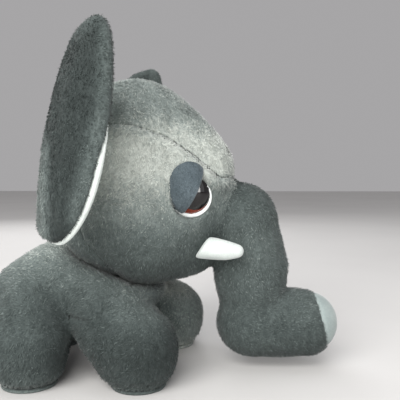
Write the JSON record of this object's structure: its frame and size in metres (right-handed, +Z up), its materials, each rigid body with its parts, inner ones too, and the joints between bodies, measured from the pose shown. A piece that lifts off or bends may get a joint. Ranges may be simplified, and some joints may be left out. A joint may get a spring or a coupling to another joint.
{
  "type": "stuffed elephant",
  "caption": "Standing plush elephant with a big round head, cupped ears, short white tusks, a bent trunk, short legs and a tail; the head, ears, trunk, legs and tail flex.",
  "frame": {"origin": "centre of the bounding box's base: on the surface that the soles stand on, midway from tail to trunk tip", "axes": "+X forward, from the tail to the tip of the trunk; +Y to the elephant's left; +Z up"},
  "size_m": [0.2693, 0.2284, 0.2382],
  "materials": {
    "plush_grey": "short pile plush, mottled grey with a green cast, matt with a soft sheen",
    "ear_lining": "smooth short velour, off-white",
    "velour_pad": "smooth short velour, pale blue-white",
    "velour_white": "smooth short velour, white",
    "velour_lid": "smooth short velour, blue-grey",
    "felt_white": "thin white felt",
    "eye_plastic": "polished black plastic with a red-brown iris",
    "washer_nylon": "moulded nylon",
    "fibre_filling": "loose polyester fibre",
    "seam_thread": "twisted polyester thread"
  },
  "bodies": {
    "torso": {"torso_side_right": "plush_grey", "torso_side_left": "plush_grey", "belly_gusset": "plush_grey", "torso_stuffing": "fibre_filling"},
    "neck": {"neck_seam_ring": "seam_thread", "neck_stuffing": "fibre_filling"},
    "tail": {"tail_sleeve": "plush_grey", "tail_tuft": "plush_grey"},
    "leg_front_right": {"leg_front_right_skin": "plush_grey", "leg_front_right_stuffing": "fibre_filling", "foot_front_right_sole": "plush_grey"},
    "leg_front_left": {"leg_front_left_skin": "plush_grey", "leg_front_left_stuffing": "fibre_filling", "foot_front_left_sole": "plush_grey"},
    "leg_hind_right": {"leg_hind_right_skin": "plush_grey", "leg_hind_right_stuffing": "fibre_filling", "foot_hind_right_sole": "plush_grey"},
    "leg_hind_left": {"leg_hind_left_skin": "plush_grey", "leg_hind_left_stuffing": "fibre_filling", "foot_hind_left_sole": "plush_grey"},
    "head": {"head_cheek_right": "plush_grey", "head_cheek_left": "plush_grey", "head_gusset": "plush_grey", "head_back_panel": "plush_grey", "head_stuffing": "fibre_filling", "eye_right_dome": "eye_plastic", "eye_right_white": "felt_white", "eye_right_washer": "washer_nylon", "eyelid_right": "velour_lid", "tusk_right_cover": "velour_white", "tusk_right_stuffing": "fibre_filling", "eye_left_dome": "eye_plastic", "eye_left_white": "felt_white", "eye_left_washer": "washer_nylon", "eyelid_left": "velour_lid", "tusk_left_cover": "velour_white", "tusk_left_stuffing": "fibre_filling"},
    "ear_right": {"ear_right_back": "plush_grey", "ear_right_padding": "fibre_filling", "ear_right_lining": "ear_lining"},
    "ear_left": {"ear_left_back": "plush_grey", "ear_left_padding": "fibre_filling", "ear_left_lining": "ear_lining"},
    "trunk_upper": {"trunk_upper_skin": "plush_grey", "trunk_upper_stuffing": "fibre_filling"},
    "trunk_lower": {"trunk_lower_skin": "plush_grey", "trunk_lower_stuffing": "fibre_filling", "trunk_tip_pad": "velour_pad"}
  },
  "joints": [
    {"name": "head_turn", "type": "hinge", "parent": "torso", "child": "neck", "pos_m": [-0.027, 0, 0.082], "axis": [0, 0, 1], "range_deg": [-12, 12], "stiffness_Nm_per_rad": 2},
    {"name": "head_nod", "type": "hinge", "parent": "neck", "child": "head", "pos_m": [-0.027, 0, 0.082], "axis": [0, 1, 0], "range_deg": [-7, 7], "stiffness_Nm_per_rad": 3},
    {"name": "trunk_base", "type": "hinge", "parent": "head", "child": "trunk_upper", "pos_m": [0.05, 0, 0.111], "axis": [0, 1, 0], "range_deg": [-15, 6], "stiffness_Nm_per_rad": 1},
    {"name": "trunk_bend", "type": "hinge", "parent": "trunk_upper", "child": "trunk_lower", "pos_m": [0.071, 0, 0.033], "axis": [0, 1, 0], "range_deg": [-18, 6], "stiffness_Nm_per_rad": 0.8},
    {"name": "ear_right_fold", "type": "hinge", "parent": "head", "child": "ear_right", "pos_m": [-0.046, -0.0525, 0.11], "axis": [0.1065, 0, 0.9943], "range_deg": [-15, 25], "stiffness_Nm_per_rad": 0.12},
    {"name": "ear_left_fold", "type": "hinge", "parent": "head", "child": "ear_left", "pos_m": [-0.046, 0.0525, 0.11], "axis": [-0.1065, 0, -0.9943], "range_deg": [-15, 25], "stiffness_Nm_per_rad": 0.12},
    {"name": "leg_front_right_swing", "type": "hinge", "parent": "torso", "child": "leg_front_right", "pos_m": [-0.037, -0.034, 0.051], "axis": [0, 1, 0], "range_deg": [-10, 10], "stiffness_Nm_per_rad": 3},
    {"name": "leg_front_left_swing", "type": "hinge", "parent": "torso", "child": "leg_front_left", "pos_m": [-0.037, 0.034, 0.051], "axis": [0, 1, 0], "range_deg": [-10, 10], "stiffness_Nm_per_rad": 3},
    {"name": "leg_hind_right_swing", "type": "hinge", "parent": "torso", "child": "leg_hind_right", "pos_m": [-0.085, -0.032, 0.052], "axis": [0, 1, 0], "range_deg": [-10, 10], "stiffness_Nm_per_rad": 3},
    {"name": "leg_hind_left_swing", "type": "hinge", "parent": "torso", "child": "leg_hind_left", "pos_m": [-0.085, 0.032, 0.052], "axis": [0, 1, 0], "range_deg": [-10, 10], "stiffness_Nm_per_rad": 3},
    {"name": "tail_swing", "type": "hinge", "parent": "torso", "child": "tail", "pos_m": [-0.124, 0, 0.06], "axis": [1, 0, 0], "range_deg": [-35, 35], "stiffness_Nm_per_rad": 0.02}
  ]
}
